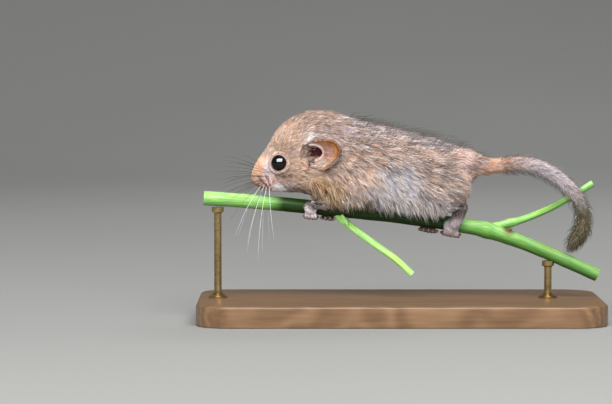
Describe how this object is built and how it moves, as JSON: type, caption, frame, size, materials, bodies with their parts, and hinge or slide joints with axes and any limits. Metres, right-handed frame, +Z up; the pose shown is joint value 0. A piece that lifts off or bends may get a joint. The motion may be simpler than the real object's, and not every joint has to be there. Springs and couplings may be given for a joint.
{
  "type": "hazel dormouse model",
  "caption": "Life-size still model of a young hazel dormouse walking along a cut green stem, with its furry tail arched behind, on a wooden base with thin rods.",
  "frame": {"origin": "centre of the base's underside, which is also the bottom centre of the bounding box", "axes": "-X is the way the nose points, -Y is the animal's left side, +Z is up"},
  "size_m": [0.113, 0.052, 0.058],
  "materials": {
    "coat": "soft short fur",
    "bare_skin": "bare or thinly haired skin",
    "eye": "wet black gloss",
    "green_stem": "smooth green bark",
    "base_wood": "oiled hardwood",
    "rod_metal": "brushed"
  },
  "bodies": {
    "root": {"head": "coat", "neck": "coat", "torso": "coat", "tail_1": "coat", "tail_2": "coat", "tail_3": "coat", "tail_4": "coat", "fore_leg_left": "coat", "fore_leg_right": "coat", "hind_leg_left": "coat", "hind_leg_right": "coat", "ear_left": "bare_skin", "ear_right": "bare_skin", "fore_foot_left": "bare_skin", "fore_foot_right": "bare_skin", "hind_foot_left": "bare_skin", "hind_foot_right": "bare_skin", "eye_left": "eye", "eye_right": "eye", "perch_stem": "green_stem", "perch_upper_shoot": "green_stem", "perch_lower_shoot": "green_stem", "stand_rod_front": "rod_metal", "stand_rod_rear": "rod_metal", "stand_base": "base_wood"}
  },
  "joints": []
}
